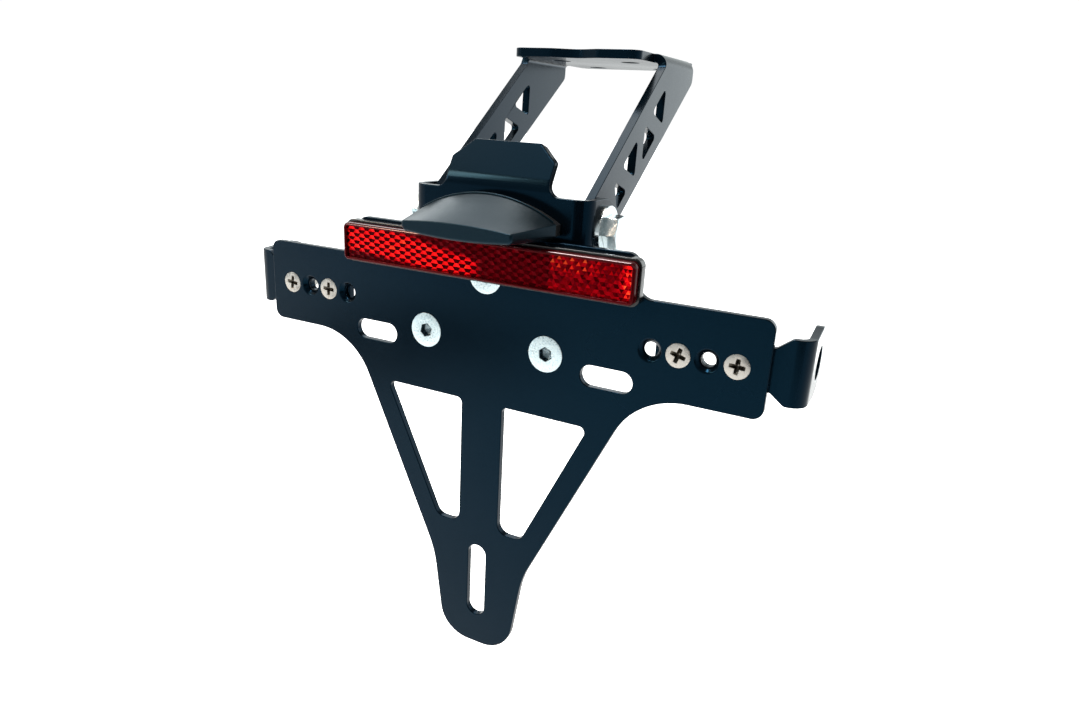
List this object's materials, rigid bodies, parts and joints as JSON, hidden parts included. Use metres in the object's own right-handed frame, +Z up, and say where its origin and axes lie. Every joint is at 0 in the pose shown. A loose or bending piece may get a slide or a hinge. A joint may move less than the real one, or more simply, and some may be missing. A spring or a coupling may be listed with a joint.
{
  "type": "motorbike tail tidy",
  "caption": "Folded-sheet tail tidy: a number plate carrier with red reflector, plate light and indicator brackets, hung by a bolted tilting pivot from a trussed tail bracket.",
  "frame": {"origin": "midway between the two upper number plate slots, on the carrier's front face", "axes": "+X to the rider's right as seen from behind, +Y forwards along the bike, +Z up"},
  "size_m": [0.2028, 0.1405, 0.2113],
  "materials": {
    "coated_sheet": "satin powder coat",
    "zinc_steel": "bright zinc",
    "stainless_steel": "bright stainless",
    "spacer_alloy": "turned",
    "housing_plastic": "gloss",
    "reflector_red": "moulded prisms",
    "light_plastic": "satin",
    "gasket_rubber": "matt",
    "clear_lens": "clear",
    "circuit_board": "matt"
  },
  "bodies": {
    "tail_mount": {"tail_bracket": "coated_sheet"},
    "plate_holder": {"pivot_bracket": "coated_sheet", "number_plate_carrier": "coated_sheet", "indicator_bracket_right": "coated_sheet", "indicator_bracket_left": "coated_sheet", "pivot_bolts": "zinc_steel", "pivot_washers": "zinc_steel", "pivot_nuts": "zinc_steel", "carrier_screws": "zinc_steel", "carrier_nuts": "zinc_steel", "carrier_spacers": "spacer_alloy", "indicator_screws": "stainless_steel", "indicator_washers": "stainless_steel", "indicator_nuts": "stainless_steel", "reflector_housing": "housing_plastic", "reflector_lens": "reflector_red", "reflector_washers": "zinc_steel", "reflector_nuts": "zinc_steel", "plate_light_shell": "light_plastic", "plate_light_gasket": "gasket_rubber", "plate_light_lens": "clear_lens", "plate_light_board": "circuit_board", "plate_light_screws": "zinc_steel"}
  },
  "joints": [
    {"name": "plate_tilt", "type": "hinge", "parent": "tail_mount", "child": "plate_holder", "pos_m": [0, 0.018, 0.0418], "axis": [1, 0, 0], "range_deg": [-30, 15]}
  ]
}
